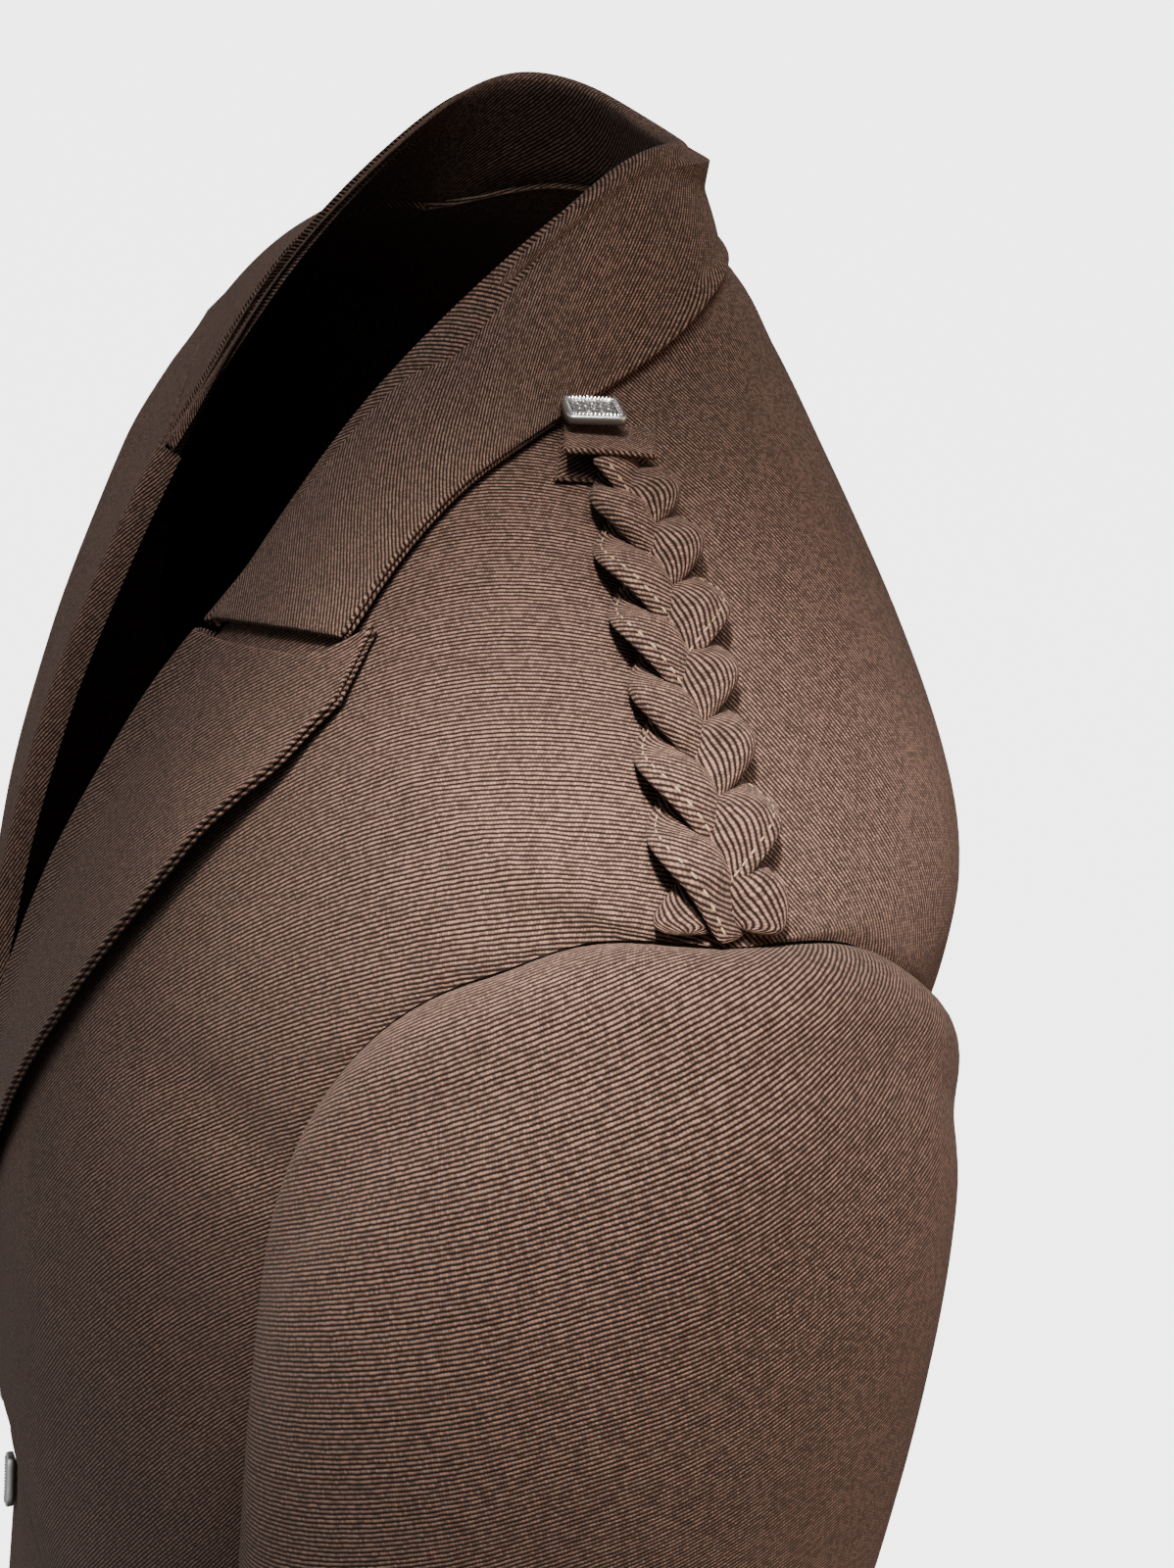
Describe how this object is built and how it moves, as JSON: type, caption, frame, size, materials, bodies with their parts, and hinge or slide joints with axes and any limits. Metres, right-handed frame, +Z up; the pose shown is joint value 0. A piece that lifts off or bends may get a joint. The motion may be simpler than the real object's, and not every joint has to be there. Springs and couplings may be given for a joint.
{
  "type": "kilt jacket",
  "caption": "Short cutaway kilt jacket in wool twill with notched lapels, set-in sleeves and braided shoulder epaulettes held by square buttons, in its worn hollow form.",
  "frame": {"origin": "middle of the neck base, level with the two side neck points where the shoulder seams meet the collar", "axes": "+Z up, +X towards the wearer's left shoulder, the front faces -Y"},
  "size_m": [0.5632, 0.2411, 0.6859],
  "materials": {
    "cloth": "brown wool twill with a slight nap",
    "metal": "bright silver-coloured metal with a beaded rim"
  },
  "bodies": {
    "root": {"front_left": "cloth", "front_right": "cloth", "back_left": "cloth", "back_right": "cloth", "lapel_left": "cloth", "lapel_right": "cloth", "collar": "cloth", "sleeve_top_left": "cloth", "sleeve_top_right": "cloth", "sleeve_under_left": "cloth", "sleeve_under_right": "cloth", "epaulette_left_strand_1": "cloth", "epaulette_left_strand_2": "cloth", "epaulette_left_strand_3": "cloth", "epaulette_right_strand_1": "cloth", "epaulette_right_strand_2": "cloth", "epaulette_right_strand_3": "cloth", "epaulette_left_tab": "cloth", "epaulette_right_tab": "cloth", "epaulette_button_left": "metal", "epaulette_button_right": "metal", "front_button_1": "metal", "front_button_2": "metal"}
  },
  "joints": []
}
